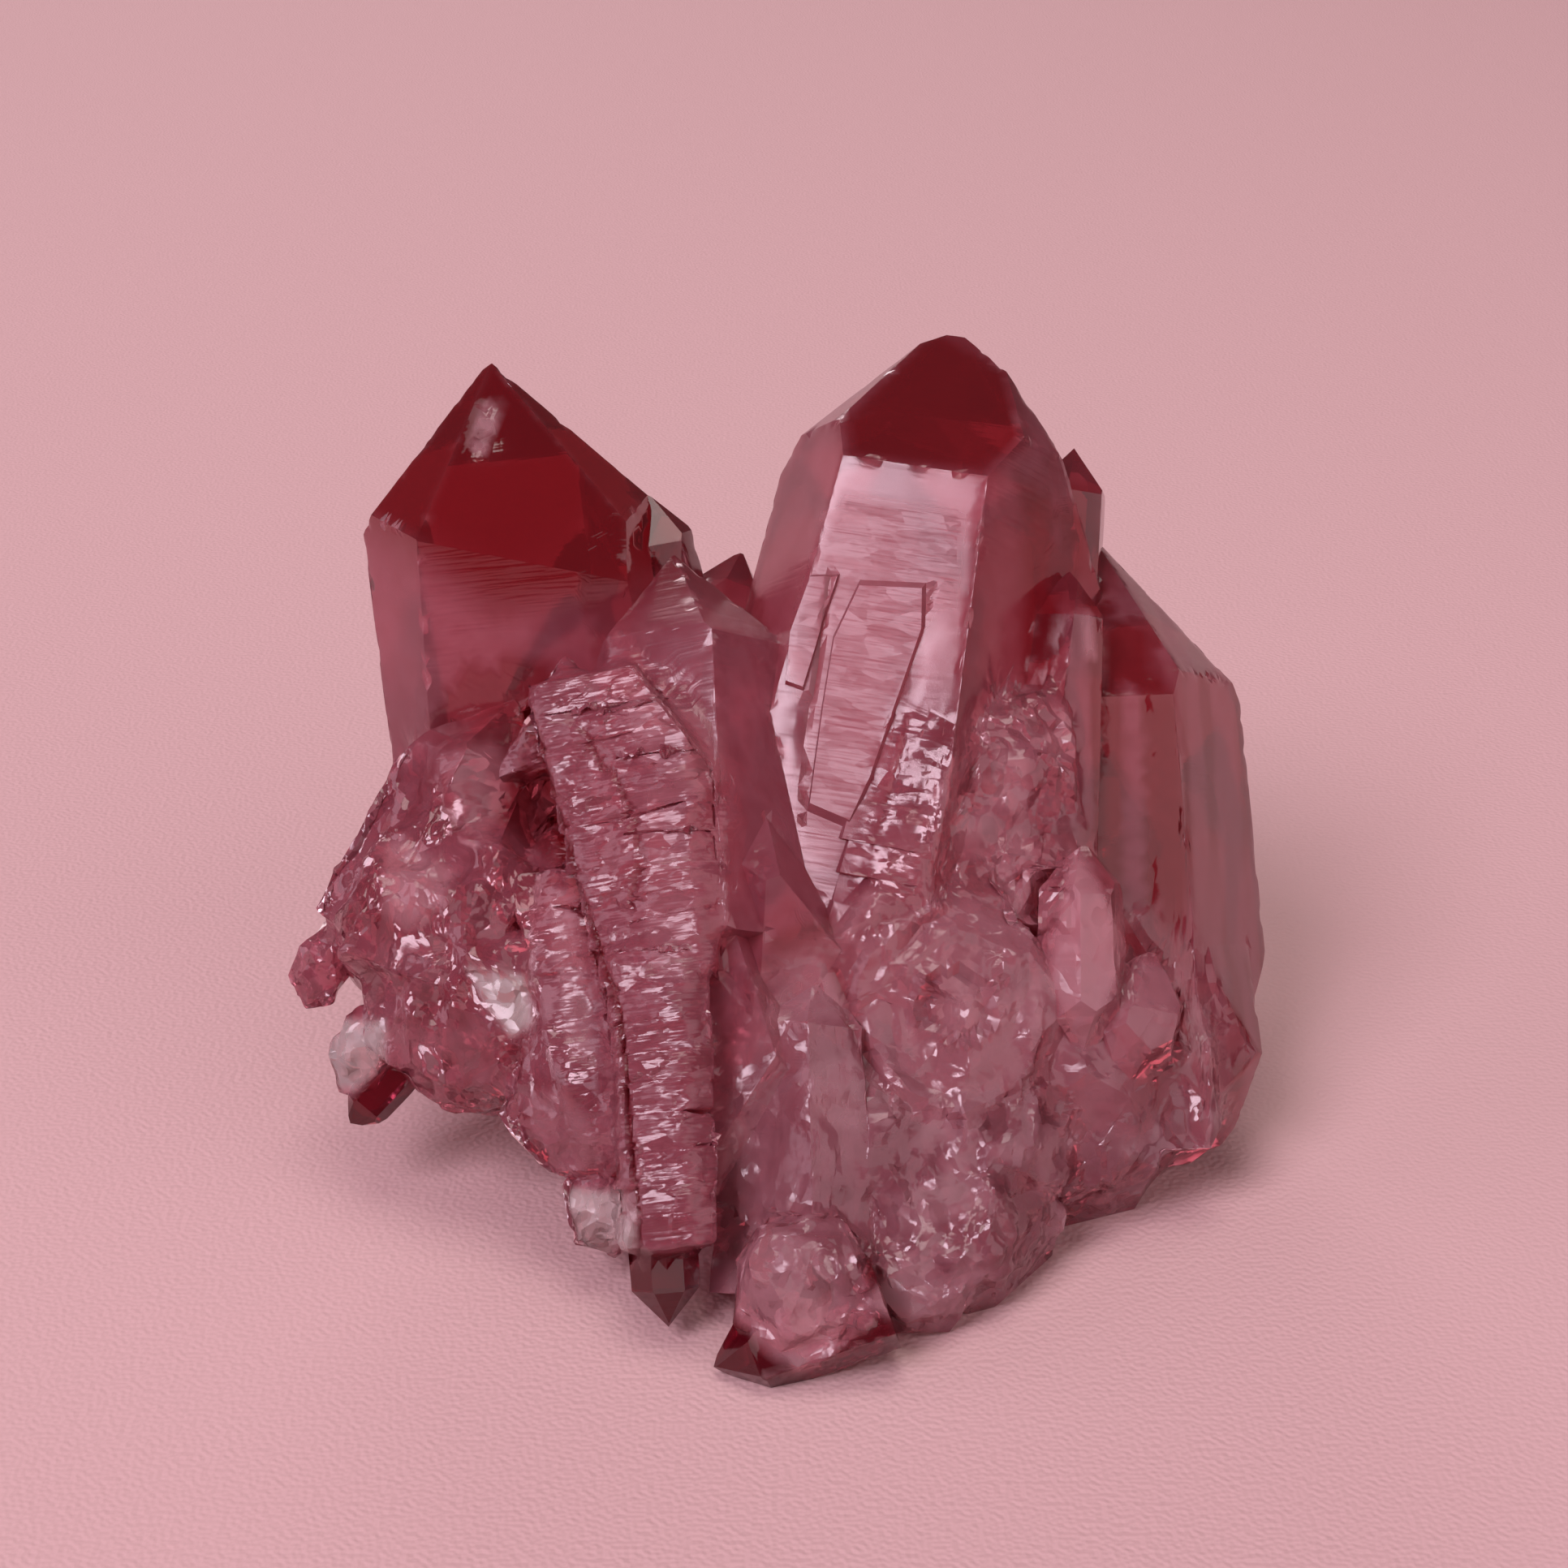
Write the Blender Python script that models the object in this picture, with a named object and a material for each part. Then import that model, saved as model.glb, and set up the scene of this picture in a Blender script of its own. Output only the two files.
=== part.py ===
"""Lemurian quartz cluster: one grown body of points, stepped blades and broken base.

Lengths are in millimetres until MM turns them to metres, and angles are in degrees.
The crystals are placed in an upright growth frame, with x to the right, y to the back
and z up.  The grown body then leans back by STAND_LEAN, and is cut flat where it was
taken off its rock, so that it rests on the cut.
"""

import math
import random

import bmesh
import bpy
from mathutils import Matrix, Vector

MM = 0.001

# Driving sizes of the cluster.
NAME = "quartz_cluster"
RIGHT_TIP = (8.8, 6.0, 24.5)
RIGHT_LENGTH = 34.0
LEFT_TIP = (-15.7, 4.0, 22.5)
LEFT_LENGTH = 32.0
MIDDLE_TIP = (-5.8, 3.0, 12.1)
MIDDLE_LENGTH = 22.0
OUTER_TIP = (16.7, 9.0, 13.5)
OUTER_LENGTH = 33.0
STAND_LEAN = 25.0
SEAT_DEPTH = 21.0

# Laws of quartz: six prism faces, and point faces at one slope to the long axis.
PRISM_FACES = 6
PRISM_STEP = 60.0
POINT_SLOPE = 38.2
FRONT_FACES = (0, 1, 5)
EVEN = (0.0,) * PRISM_FACES

# Working sizes.
BLOCK = 120.0
GOLDEN_ANGLE = 2.399963
RUNG_FLARE = 2.5


def empty_scene():
    for thing in list(bpy.data.objects):
        bpy.data.objects.remove(thing, do_unlink=True)


def new_collection(name):
    made = bpy.data.collections.new(name)
    bpy.context.scene.collection.children.link(made)
    return made


def quartz_material():
    """Clear to milky quartz, stained red-brown."""
    made = bpy.data.materials.new("lemurian_quartz")
    made.use_nodes = True
    shader = made.node_tree.nodes["Principled BSDF"]
    shader.inputs["Base Color"].default_value = (0.30, 0.08, 0.09, 1.0)
    shader.inputs["Roughness"].default_value = 0.15
    shader.inputs["Metallic"].default_value = 0.0
    shader.inputs["IOR"].default_value = 1.544
    made.diffuse_color = (0.30, 0.08, 0.09, 1.0)
    return made


# --- tools -------------------------------------------------------------------------


def start_block(centre):
    body = bmesh.new()
    bmesh.ops.create_cube(body, size=BLOCK * MM, matrix=Matrix.Translation(centre * MM))
    return body


def cut_flat(body, point, normal):
    """Slice a convex body, drop what is beyond the plane and close the cut."""
    everything = body.verts[:] + body.edges[:] + body.faces[:]
    sliced = bmesh.ops.bisect_plane(
        body, geom=everything, plane_co=point * MM, plane_no=normal, clear_outer=True)
    rim = [item for item in sliced["geom_cut"] if isinstance(item, bmesh.types.BMEdge)]
    if rim:
        bmesh.ops.contextual_create(body, geom=rim)


def finish_piece(name, body):
    """Turn a cut body into a guide object; triangles stay flat when they are joined."""
    bmesh.ops.recalc_face_normals(body, faces=body.faces)
    bmesh.ops.triangulate(body, faces=body.faces)
    mesh = bpy.data.meshes.new(name)
    body.to_mesh(mesh)
    body.free()
    grown = bpy.data.objects.new(name, mesh)
    grown.hide_render = True
    grown.display_type = "WIRE"
    growth.objects.link(grown)
    return grown


def long_axis(lean):
    """Direction that a crystal grows in, from its lean to the right and to the back."""
    right, back = (math.radians(angle) for angle in lean)
    return Vector((math.sin(right) * math.cos(back),
                   math.sin(back),
                   math.cos(right) * math.cos(back)))


def prism_direction(lean, turn, swing=0.0):
    """Outward direction at an angle round the axis; 0 looks to the front."""
    axis = long_axis(lean)
    front = Vector((0.0, -1.0, 0.0))
    front = (front - axis * front.dot(axis)).normalized()
    side = axis.cross(front)
    if side.x < 0:
        side.negate()
    angle = math.radians(turn + swing)
    return front * math.cos(angle) + side * math.sin(angle)


def tilted(direction, axis, angle):
    """The direction, raised towards the axis."""
    rise = math.radians(angle)
    return direction * math.cos(rise) + axis * math.sin(rise)


def cut_prism(body, tip, lean, turn, sides, flare, swing=EVEN):
    """Cut the six long faces.  Flare widens the crystal towards its root."""
    axis = long_axis(lean)
    for face in range(PRISM_FACES):
        outward = prism_direction(lean, turn, PRISM_STEP * face + swing[face])
        normal = tilted(outward, axis, flare[face])
        cut_flat(body, tip + normal * sides[face], normal)


def crystal(name, tip, lean, turn, sides, drops, flare=EVEN, length=20.0,
            root_drops=None, swing=EVEN, slope=EVEN, point_swing=EVEN, breaks=()):
    """A quartz crystal, cut from a block face by face.

    sides are the six distances from the tip line to the long faces, from the front face
    round by the right, and drops say how far below the tip each point face would meet
    the axis.  root_drops give a crystal a second point, and breaks are broken faces.
    """
    tip = Vector(tip)
    axis = long_axis(lean)
    body = start_block(tip)
    cut_prism(body, tip, lean, turn, sides, flare, swing)
    for face in range(PRISM_FACES):
        outward = prism_direction(lean, turn, PRISM_STEP * face + point_swing[face])
        normal = tilted(outward, axis, POINT_SLOPE + slope[face])
        cut_flat(body, tip - axis * drops[face], normal)
    root = tip - axis * length
    cut_flat(body, root, -axis)
    if root_drops:
        for face in range(PRISM_FACES):
            outward = prism_direction(lean, turn, PRISM_STEP * (face + 0.5))
            normal = tilted(outward, -axis, POINT_SLOPE)
            cut_flat(body, root + axis * root_drops[face], normal)
    for point, normal in breaks:
        cut_flat(body, Vector(point), Vector(normal).normalized())
    return finish_piece(name, body)


def ladder(name, top, lean, turn, sides, taper, rungs, length, seed,
           flare=RUNG_FLARE, slant=8.0, wander=0.1, breaks=()):
    """A blade of overlapping growth steps, each proud of the next at its lower edge."""
    chance = random.Random(seed)
    top = Vector(top)
    axis = long_axis(lean)
    step = length / rungs
    for rung in range(rungs):
        share = 1.0 + (taper - 1.0) * rung / (rungs - 1)
        start = top - axis * step * rung
        widths = [side * share + chance.uniform(-wander, wander) for side in sides]
        flares = [flare + chance.uniform(-2.0, 3.0) if face in FRONT_FACES else 0.0
                  for face in range(PRISM_FACES)]
        body = start_block(start)
        cut_prism(body, start, lean, turn, widths, flares)
        cut_flat(body, start - axis * step * chance.uniform(1.0, 1.3), -axis)
        to_front = math.tan(math.radians(chance.uniform(-5.0, 15.0)))
        to_side = math.tan(math.radians(chance.uniform(-slant, slant)))
        slanted = (axis + prism_direction(lean, turn) * to_front
                   + prism_direction(lean, turn, 90.0) * to_side)
        cut_flat(body, start, slanted.normalized())
        for point, normal in breaks:
            cut_flat(body, Vector(point), Vector(normal).normalized())
        if body.faces:
            finish_piece(f"{name}_{rung}", body)


def lump(name, centre, radii, lean=0.0, back=0.0, turn=0.0, cuts=34, seed=1, loose=0.14):
    """A broken lump: a block cut by planes that touch an ellipsoid all round."""
    chance = random.Random(seed)
    centre = Vector(centre)
    spin = (Matrix.Rotation(math.radians(lean), 3, "Y")
            @ Matrix.Rotation(-math.radians(back), 3, "X")
            @ Matrix.Rotation(math.radians(turn), 3, "Z"))
    body = start_block(centre)
    for index in range(cuts):
        height = 1.0 - 2.0 * (index + 0.5) / cuts
        angle = GOLDEN_ANGLE * index + chance.uniform(-0.35, 0.35)
        height = max(-1.0, min(1.0, height + chance.uniform(-0.08, 0.08)))
        ring = math.sqrt(1.0 - height * height)
        normal = Vector((ring * math.cos(angle), ring * math.sin(angle), height))
        reach = Vector([normal[i] * radii[i] for i in range(3)]).length
        reach *= 1.0 - chance.random() * loose
        outward = spin @ normal
        cut_flat(body, centre + outward * reach, outward)
    return finish_piece(name, body)


def growth_plate(name, tip, lean, turn, side, flare, corners, rise=0.35):
    """A thin layer on the front face: corners are across and down from the tip."""
    tip = Vector(tip)
    axis = long_axis(lean)
    normal = tilted(prism_direction(lean, turn), axis, flare)
    across = axis.cross(normal).normalized()
    if across.x < 0:
        across.negate()
    up = normal.cross(across)
    if up.dot(axis) < 0:
        up.negate()
    middle = sum((Vector(corner) for corner in corners), Vector((0.0, 0.0))) / len(corners)
    body = bmesh.new()
    for level, share in ((-0.6, 1.0), (rise, 0.85)):
        for corner in corners:
            place = middle + (Vector(corner) - middle) * share
            spot = tip + normal * (side + level) + across * place.x - up * place.y
            body.verts.new(spot * MM)
    bmesh.ops.convex_hull(body, input=body.verts)
    return finish_piece(name, body)


# --- tall points -------------------------------------------------------------------


def right_point():
    """Tallest point, with a broad front cap over a flat front face."""
    lean = (10.9, 7.7)
    turn = -9.9
    sides = (6.9, 6.8, 10.8, 6.0, 7.0, 5.4)
    flare = (-0.7, 2.3, 0.3, 0.0, 1.4, 4.0)
    crystal("right_point", RIGHT_TIP, lean, turn, sides,
            drops=(1.0, -2.3, -0.9, -0.2, 0.0, -0.3), flare=flare, length=RIGHT_LENGTH)
    growth_plate("wide_plate", RIGHT_TIP, lean, turn, sides[0], flare[0],
                 corners=((-1.2, 15.2), (2.5, 14.8), (2.9, 17.2), (2.1, 21.0), (1.5, 26.4),
                          (0.8, 29.1), (-1.7, 28.5), (-2.0, 22.5), (-2.1, 18.6)))
    growth_plate("narrow_plate", RIGHT_TIP, lean, turn, sides[0], flare[0], rise=0.3,
                 corners=((-3.6, 15.6), (-2.0, 15.3), (-2.6, 18.8), (-2.8, 22.2),
                          (-3.9, 22.0), (-4.2, 19.1)))
    ladder("right_foot_steps", (5.5, -1.2, -1.8), (12.0, 8.0), -9.0,
           sides=(3.4, 3.6, 3.0, 3.0, 3.0, 3.2), taper=1.0, rungs=4, length=6.4,
           seed=9, flare=5.0, wander=0.25)
    crystal("right_shoulder", (15.4, 8.0, 18.6), (6.0, 2.0), 20.0,
            sides=(2.0, 2.0, 2.3, 2.0, 3.0, 3.0), drops=(0.3, 0.0, 0.0, 0.0, 0.8, 0.8),
            flare=(2.0, 3.0, 2.0, 0.0, 0.0, 4.0), length=22.0)


def left_point():
    """Broad dark point that leans out to the left."""
    crystal("left_point", LEFT_TIP, (-5.2, -15.3), 9.8,
            sides=(5.8, 6.4, 6.7, 6.0, 7.0, 6.4), drops=(0.4, 0.1, 0.0, 0.3, 0.2, 0.6),
            flare=(-0.5, 5.7, 0.0, 0.0, -2.4, 2.4), length=LEFT_LENGTH,
            swing=(-6.6, 5.4, 0.0, 0.0, 0.2, -5.3),
            slope=(-7.2, 2.4, 0.0, 0.5, 0.0, 4.3),
            point_swing=(4.2, -0.1, 0.0, -0.5, 0.0, 3.5))
    crystal("left_shoulder", (-7.4, 8.0, 15.8), (-10.0, -8.0), 12.0,
            sides=(2.2, 1.7, 1.4, 4.0, 4.0, 4.0), drops=(0.0, 0.0, 0.3, 0.0, 0.0, 0.0),
            flare=(0.0, 5.0, 2.0, 0.0, 0.0, 0.0), length=26.0)


def middle_points():
    """Short point in front of the cleft, and a small dark one inside it."""
    crystal("middle_point", MIDDLE_TIP, (-6.1, 17.8), -17.0,
            sides=(4.2, 5.1, 4.5, 5.0, 5.0, 4.4), drops=(0.2, 0.1, 0.0, -0.3, 0.0, 0.0),
            flare=(1.8, -1.0, 3.1, 0.0, 0.0, 0.1), length=MIDDLE_LENGTH,
            swing=(-1.3, -0.2, -0.2, 0.0, 0.0, 0.0),
            point_swing=(2.2, 0.3, 0.0, 0.0, 0.0, 0.0))
    crystal("cleft_point", (-2.3, 10.0, 12.8), (16.0, 5.0), 20.0,
            sides=(1.6, 1.3, 2.2, 2.0, 2.0, 2.2), drops=(0.0, 0.0, 0.0, 0.4, 0.0, 0.0),
            flare=(0.0, 4.0, 4.0, 0.0, 0.0, 2.0), length=14.0)


def outer_points():
    """Parallel crystals on the right, under one slanting top face."""
    crystal("outer_point", OUTER_TIP, (-4.1, 3.8), 4.0,
            sides=(7.2, 5.7, 7.6, 6.0, 6.0, 6.0), drops=(0.0, -0.1, -0.1, 0.0, 0.0, 0.0),
            flare=(1.7, 0.8, 1.0, 0.0, 0.0, 0.0), length=OUTER_LENGTH,
            swing=(-1.0, -0.8, 0.0, 0.0, 0.0, 0.0), slope=(0.0, -3.6, 0.6, 0.0, 0.0, 0.0),
            breaks=(((25.5, 8.0, -11.2), (0.90, 0.0, -0.44)),
                    ((23.4, 8.0, -18.4), (0.95, 0.0, -0.30))))
    crystal("outer_rib", (18.3, 4.5, 8.4), (-7.0, 3.0), 22.0,
            sides=(1.6, 1.5, 2.0, 5.0, 5.0, 1.5), drops=(0.0, 0.4, 1.0, 1.0, 0.8, 0.4),
            flare=(1.0, 1.0, 2.0, 0.0, 0.0, 1.0), length=20.0)
    crystal("inner_rib", (15.1, 2.5, 11.4), (6.0, 6.0), 24.0,
            sides=(2.2, 1.6, 2.4, 2.0, 2.4, 1.8), drops=(0.0, 0.5, 0.0, 0.0, 0.0, 0.4),
            flare=(2.0, 4.0, 0.0, 0.0, 0.0, 4.0), length=16.0)


def back_points():
    """Crystals that spread to the back, with evenly grown points."""
    drops = (0.0, 0.5, 0.0, 0.8, 0.0, 0.4)
    flare = (1.0, 2.0, 1.0, 2.0, 0.0, 2.0)
    spread = (
        ("back_tall", (6.6, 16.0, 18.7), (4.0, 12.0), 10.0, 5.0, 27.0),
        ("back_left", (-12.3, 17.0, 12.3), (-10.0, 8.0), 35.0, 4.6, 24.0),
        ("back_right", (17.5, 18.0, 3.1), (14.0, 14.0), 0.0, 4.0, 18.0),
        ("back_middle", (-1.7, 18.0, 4.9), (-2.0, 20.0), 22.0, 3.4, 18.0),
        ("back_outer_left", (-18.6, 15.0, -5.2), (-34.0, 16.0), 12.0, 2.6, 12.0),
        ("back_low_right", (7.2, 19.0, -2.1), (8.0, 30.0), 30.0, 2.4, 12.0),
        ("back_low_left", (-9.7, 19.0, -4.4), (-16.0, 28.0), 8.0, 2.1, 11.0),
    )
    for name, tip, lean, turn, side, length in spread:
        sides = [side * share for share in (1.0, 1.04, 0.96, 1.06, 1.0, 0.94)]
        crystal(name, tip, lean, turn, sides, drops, flare, length)


# --- stepped blades ----------------------------------------------------------------


def stepped_blades():
    """Front blades whose faces are ladders of growth steps."""
    crystal("blade_top", (-7.3, -4.2, 5.7), (-3.0, 8.0), 14.0,
            sides=(2.0, 4.9, 5.6, 4.0, 3.0, 0.9), drops=(0.2, 0.0, 0.4, 1.0, 0.6, 0.6),
            flare=(0.0, -3.0, -3.0, 0.0, 0.0, 2.0), length=12.0)
    crystal("blade_crown", (-11.4, -1.4, 6.9), (-9.0, 10.0), 30.0,
            sides=(1.5, 2.0, 3.0, 4.0, 4.0, 1.6), drops=(0.0, 0.2, 0.6, 1.0, 0.6, 0.2),
            length=6.0)
    shoulder = (((-7.0, -7.0, 5.4), (0.8, 0.0, 0.6)),)
    ladder("blade_steps", (-8.4, -3.6, 5.8), (-8.0, 12.0), -12.0,
           sides=(1.6, 4.6, 4.4, 3.0, 4.0, 4.3), taper=0.62, rungs=8, length=15.4,
           seed=3, slant=12.0, breaks=shoulder)
    ladder("crown_steps", (-6.9, -4.9, 4.0), (-6.0, 12.0), -16.0,
           sides=(1.5, 3.0, 2.9, 3.0, 2.4, 2.3), taper=0.8, rungs=10, length=13.5,
           seed=5, slant=8.0, breaks=shoulder)
    ladder("side_steps", (-12.1, -2.0, -4.5), (-12.0, 14.0), -22.0,
           sides=(1.7, 1.6, 2.0, 3.0, 3.0, 1.7), taper=0.8, rungs=7, length=13.0,
           seed=8, slant=16.0)
    ladder("foot_steps", (-6.1, -7.6, -8.2), (-3.5, 11.0), -15.0,
           sides=(1.5, 2.3, 2.3, 3.0, 2.6, 2.4), taper=0.9, rungs=9, length=14.0,
           seed=6, slant=6.0)
    crystal("hanging_tip", (-5.6, -9.0, -26.3), (176.0, -4.0), 8.0,
            sides=(1.4, 1.4, 1.5, 1.5, 1.4, 1.3), drops=(0.0, 0.1, 0.0, 0.0, 0.1, 0.2),
            flare=(2.0, 1.0, 1.0, 1.0, 1.0, 2.0), length=8.0)


# --- lower left --------------------------------------------------------------------


def lower_left():
    """Leaning crystals and rounded broken masses that overhang on the left."""
    crystal("leaning_slab", (-13.9, 3.0, 4.6), (27.0, 8.0), 15.0,
            sides=(2.6, 3.0, 4.0, 5.0, 4.0, 2.7), drops=(0.4, -0.2, 0.0, 0.0, 0.0, 0.2),
            flare=(3.0, 0.0, 0.0, 0.0, 0.0, 1.0), length=15.0)
    crystal("leaning_chip", (-13.6, 0.6, -0.8), (24.0, 14.0), 36.0,
            sides=(2.4, 2.2, 3.0, 5.0, 5.0, 2.3), drops=(0.3, -0.2, 0.0, 0.0, 0.0, 0.2),
            flare=(2.0, 0.0, 0.0, 0.0, 0.0, 2.0), length=11.0)
    lump("left_mass", (-18.9, 2.4, -6.9), (5.2, 6.4, 4.8), lean=10.0, turn=10.0, seed=5)
    lump("left_bulb", (-15.4, 1.0, -11.4), (6.2, 6.6, 5.6), lean=-20.0, seed=7)
    lump("left_heel", (-10.2, -2.6, -15.8), (3.4, 5.0, 5.2), lean=-30.0, cuts=30, seed=9,
         loose=0.14)
    lump("clear_chip", (-21.8, 1.0, -13.7), (1.7, 2.0, 2.6), lean=20.0, cuts=14, seed=11,
         loose=0.25)
    lump("pink_chip", (-24.1, 3.0, -9.5), (1.2, 1.6, 2.6), lean=10.0, cuts=14, seed=12,
         loose=0.25)
    lump("white_fragment", (-9.1, -5.0, -21.5), (1.9, 2.0, 2.6), lean=-30.0, cuts=14, seed=13,
         loose=0.25)
    crystal("dark_spur", (-22.6, 1.0, -17.8), (222.0, 0.0), 10.0,
            sides=(1.0, 1.0, 1.0, 1.1, 1.1, 1.1), drops=(0.3, 0.0, 0.4, 0.0, 0.3, 0.0),
            flare=(2.0,) * PRISM_FACES, length=9.0)


# --- lower middle and right --------------------------------------------------------


def lower_front():
    """Frosted crystals and broken lumps round the foot of the tall points."""
    crystal("frosted_blade", (1.2, -4.5, -8.3), (3.0, 10.0), 24.0,
            sides=(2.6, 2.6, 4.0, 6.0, 4.0, 2.4), drops=(0.3, 0.0, 0.0, 1.0, 0.0, 0.8),
            flare=(3.0, 6.0, 0.0, 0.0, 0.0, -1.0), length=17.0)
    crystal("frosted_kite", (14.8, -3.0, -2.8), (0.0, 4.0), 14.0,
            sides=(2.1, 1.9, 2.4, 2.0, 2.0, 1.6), drops=(0.0, -0.3, 0.0, 0.6, 0.0, 0.2),
            flare=(2.0, 2.0, 2.0, 0.0, 0.0, 2.0), length=11.2,
            root_drops=(0.0, 0.0, 0.4, 0.0, 0.2, 0.0))
    crystal("frosted_stub", (18.6, -2.0, -8.0), (12.0, 4.0), 18.0,
            sides=(2.4, 2.2, 2.4, 3.0, 2.8, 2.6), drops=(0.3, 0.0, 0.0, 0.6, 0.0, 0.3),
            length=8.0, root_drops=(0.0, 0.0, 0.4, 0.0, 0.2, 0.0))
    crystal("dark_foot", (-3.6, -11.0, -27.8), (250.0, 0.0), 0.0,
            sides=(1.8, 1.8, 1.8, 1.9, 1.9, 1.9), drops=(0.0, 0.2, 0.0, 0.4, 0.0, 0.2),
            flare=(1.0,) * PRISM_FACES, length=9.0)
    lump("frosted_boss", (5.0, -4.4, -17.4), (3.4, 3.6, 3.4), lean=15.0, cuts=26, seed=15,
         loose=0.15)
    lump("bottom_chunk", (0.7, -10.7, -24.0), (3.4, 3.1, 3.9), lean=15.0, cuts=30, seed=18,
         loose=0.14)
    lump("grey_chunk", (6.5, -7.5, -24.7), (2.9, 2.4, 1.9), lean=20.0, cuts=14, seed=19,
         loose=0.25)
    lump("swirl_lump", (8.2, -3.3, -11.6), (5.8, 4.2, 6.1), lean=8.0, cuts=52, seed=21,
         loose=0.08)
    lump("red_crust", (11.8, -0.5, 0.2), (2.8, 3.0, 5.4), lean=4.0, cuts=30, seed=23, loose=0.2)
    lump("middle_splinter", (-0.9, -4.2, -6.5), (2.7, 2.9, 6.0), lean=-12.0, cuts=16, seed=30,
         loose=0.15)
    lump("middle_strip", (-2.5, -4.6, -13.0), (2.0, 3.3, 9.5), lean=-4.0, cuts=16, seed=33)


def broken_base():
    """Overlapping lumps of broken quartz that carry all the crystals."""
    lump("base_centre", (5.2, 0.0, -9.3), (6.8, 7.0, 8.5), seed=31)
    lump("base_right", (13.0, 4.0, -15.1), (9.5, 9.0, 9.5), back=10.0, cuts=44, seed=33)
    lump("base_left", (-8.0, 4.0, -9.2), (7.4, 8.0, 10.0), lean=-14.0, seed=35)
    lump("base_front", (4.8, 0.0, -19.3), (8.0, 9.0, 8.5), back=10.0, cuts=40, seed=37)
    lump("base_outer", (18.8, 6.0, -11.9), (6.0, 7.0, 9.3), lean=-6.0, seed=39)
    lump("base_fill", (9.6, -0.5, -17.6), (5.6, 7.0, 5.8), cuts=30, seed=45)
    lump("base_toe", (8.0, -2.0, -22.4), (6.0, 8.0, 4.2), lean=-12.0, cuts=36, seed=41,
         loose=0.15)
    return lump("base_back", (-1.2, 12.0, -10.5), (12.0, 7.0, 9.5), back=20.0, cuts=40, seed=43)


# --- join, stand and cut -----------------------------------------------------------


def apply_modifiers(thing):
    seen = thing.evaluated_get(bpy.context.evaluated_depsgraph_get())
    joined = bmesh.new()
    joined.from_mesh(bpy.data.meshes.new_from_object(seen))
    bmesh.ops.triangulate(joined, faces=joined.faces)
    thing.modifiers.clear()
    joined.to_mesh(thing.data)
    joined.free()


def fuse(start):
    """Join every grown piece to the starting one in one step, into one solid."""
    growth.objects.unlink(start)
    cluster_parts.objects.link(start)
    join = start.modifiers.new("join", "BOOLEAN")
    join.operation = "UNION"
    join.solver = "EXACT"
    join.operand_type = "COLLECTION"
    join.collection = growth
    apply_modifiers(start)
    start.hide_render = False
    start.display_type = "TEXTURED"
    return start


def stand_up(cluster):
    """Lean the growth frame back to how the cluster stands, with the floor at z = 0."""
    lean_back = Matrix.Rotation(-math.radians(STAND_LEAN), 4, "X")
    lift = Matrix.Translation((0.0, 0.0, SEAT_DEPTH * MM))
    cluster.data.transform(lift @ lean_back)


def cut_seat(cluster):
    """Cut the underside flat at z = 0."""
    body = start_block(Vector((0.0, 0.0, -BLOCK / 2)))
    seat = finish_piece("seat_cutter", body)
    cut = cluster.modifiers.new("seat", "BOOLEAN")
    cut.operation = "DIFFERENCE"
    cut.solver = "EXACT"
    cut.object = seat
    apply_modifiers(cluster)


def islands(body):
    """Groups of faces that hang together."""
    waiting = set(body.faces)
    while waiting:
        group = {waiting.pop()}
        edge_of_group = list(group)
        while edge_of_group:
            face = edge_of_group.pop()
            for edge in face.edges:
                for near in edge.link_faces:
                    if near in waiting:
                        waiting.remove(near)
                        group.add(near)
                        edge_of_group.append(near)
        yield group


def keep_outer_skin(cluster):
    """Fill pockets that are sealed inside, and drop crumbs left by the cut."""
    body = bmesh.new()
    body.from_mesh(cluster.data)
    groups = sorted(islands(body), key=len)
    for group in groups[:-1]:
        bmesh.ops.delete(body, geom=list(group), context="FACES")
    loose = [vertex for vertex in body.verts if not vertex.link_faces]
    bmesh.ops.delete(body, geom=loose, context="VERTS")
    body.to_mesh(cluster.data)
    body.free()


def centre_on_seat(cluster):
    """Put the origin under the middle of the cluster, on the floor."""
    spots = [vertex.co for vertex in cluster.data.vertices]
    middle_x = (min(spot.x for spot in spots) + max(spot.x for spot in spots)) / 2
    middle_y = (min(spot.y for spot in spots) + max(spot.y for spot in spots)) / 2
    cluster.data.transform(Matrix.Translation((-middle_x, -middle_y, 0.0)))


empty_scene()
cluster_parts = new_collection(NAME)
growth = new_collection("growth")
right_point()
left_point()
middle_points()
outer_points()
back_points()
stepped_blades()
lower_left()
lower_front()
quartz_cluster = fuse(broken_base())
stand_up(quartz_cluster)
cut_seat(quartz_cluster)
keep_outer_skin(quartz_cluster)
centre_on_seat(quartz_cluster)
quartz_cluster.name = NAME
quartz_cluster.data.name = NAME
quartz_cluster.data.materials.append(quartz_material())
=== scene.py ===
import math

import bmesh
import bpy
import numpy as np
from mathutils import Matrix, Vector
from mathutils.kdtree import KDTree


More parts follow.
